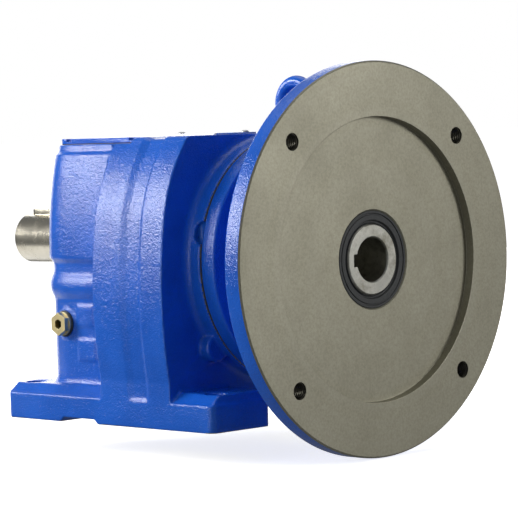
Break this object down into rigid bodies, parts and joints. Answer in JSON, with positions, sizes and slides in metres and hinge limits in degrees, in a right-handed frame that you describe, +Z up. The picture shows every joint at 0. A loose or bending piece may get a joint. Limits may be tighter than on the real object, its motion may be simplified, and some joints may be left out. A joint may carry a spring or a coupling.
{
  "type": "industrial gearbox",
  "caption": "Foot-mounted in-line helical gearbox with a keyed output shaft and a round motor flange around a hollow keyed input shaft.",
  "frame": {"origin": "centre of the foot bolt pattern, on the plane the feet stand on", "axes": "+X along the shafts towards the motor flange, +Y towards the breather side, +Z up from the feet"},
  "size_m": [0.337, 0.25, 0.25],
  "materials": {
    "blue_paint": "gloss hammered paint",
    "brass": "satin",
    "gasket": "matt",
    "gear_steel": "case hardened, ground flanks",
    "plate": "satin",
    "seal_rubber": "satin nitrile",
    "spring_steel": "oil blackened",
    "steel": "ground",
    "yellow_zinc": "yellow passivated",
    "zinc_screw": "zinc plated"
  },
  "bodies": {
    "casing": {"adaptor_bolts": "zinc_screw", "adaptor_gasket": "gasket", "breather_plug": "yellow_zinc", "breather_plug_seal": "seal_rubber", "eyebolt": "blue_paint", "housing": "blue_paint", "input_adaptor": "blue_paint", "input_bearing_circlip": "spring_steel", "input_front_bearing_outer_ring": "steel", "input_rear_bearing_outer_ring": "steel", "input_seal": "seal_rubber", "intermediate_front_bearing_outer_ring": "steel", "intermediate_rear_bearing_outer_ring": "steel", "nameplate": "plate", "nameplate_rivets": "zinc_screw", "oil_drain_plug": "yellow_zinc", "oil_drain_plug_seal": "seal_rubber", "oil_level_plug": "yellow_zinc", "oil_level_plug_seal": "seal_rubber", "output_bearing_circlip": "spring_steel", "output_front_bearing_outer_ring": "steel", "output_rear_bearing_outer_ring": "steel", "output_seal": "seal_rubber", "top_cover": "blue_paint", "top_cover_gasket": "gasket", "top_cover_screws": "zinc_screw"},
    "output_train": {"output_front_bearing_balls": "steel", "output_front_bearing_cage": "brass", "output_front_bearing_inner_ring": "steel", "output_rear_bearing_balls": "steel", "output_rear_bearing_cage": "brass", "output_rear_bearing_inner_ring": "steel", "output_shaft": "steel", "output_shaft_circlip": "spring_steel", "output_shaft_key": "steel", "output_spacer": "steel", "output_wheel": "gear_steel", "output_wheel_key": "steel"},
    "intermediate_train": {"intermediate_front_bearing_balls": "steel", "intermediate_front_bearing_cage": "brass", "intermediate_front_bearing_inner_ring": "steel", "intermediate_pinion_shaft": "gear_steel", "intermediate_rear_bearing_balls": "steel", "intermediate_rear_bearing_cage": "brass", "intermediate_rear_bearing_inner_ring": "steel", "intermediate_shaft_circlip": "spring_steel", "intermediate_spacer": "steel", "intermediate_wheel": "gear_steel", "intermediate_wheel_key": "steel"},
    "input_train": {"input_front_bearing_balls": "steel", "input_front_bearing_cage": "brass", "input_front_bearing_inner_ring": "steel", "input_pinion": "gear_steel", "input_pinion_key": "steel", "input_rear_bearing_balls": "steel", "input_rear_bearing_cage": "brass", "input_rear_bearing_inner_ring": "steel", "input_shaft": "steel", "input_shaft_circlip": "spring_steel"}
  },
  "joints": [
    {"name": "output_spin", "type": "hinge", "parent": "casing", "child": "output_train", "pos_m": [0, 0, 0.115], "axis": [1, 0, 0], "continuous": true},
    {"name": "intermediate_spin", "type": "hinge", "parent": "casing", "child": "intermediate_train", "pos_m": [0, 0.04509, 0.06787], "axis": [1, 0, 0], "continuous": true},
    {"name": "input_spin", "type": "hinge", "parent": "casing", "child": "input_train", "pos_m": [0, 0, 0.1035], "axis": [1, 0, 0], "continuous": true}
  ],
  "couplings": [
    {"joint": "intermediate_spin", "follows": "output_spin", "ratio": -3.2},
    {"joint": "input_spin", "follows": "output_spin", "ratio": 8.9263}
  ]
}
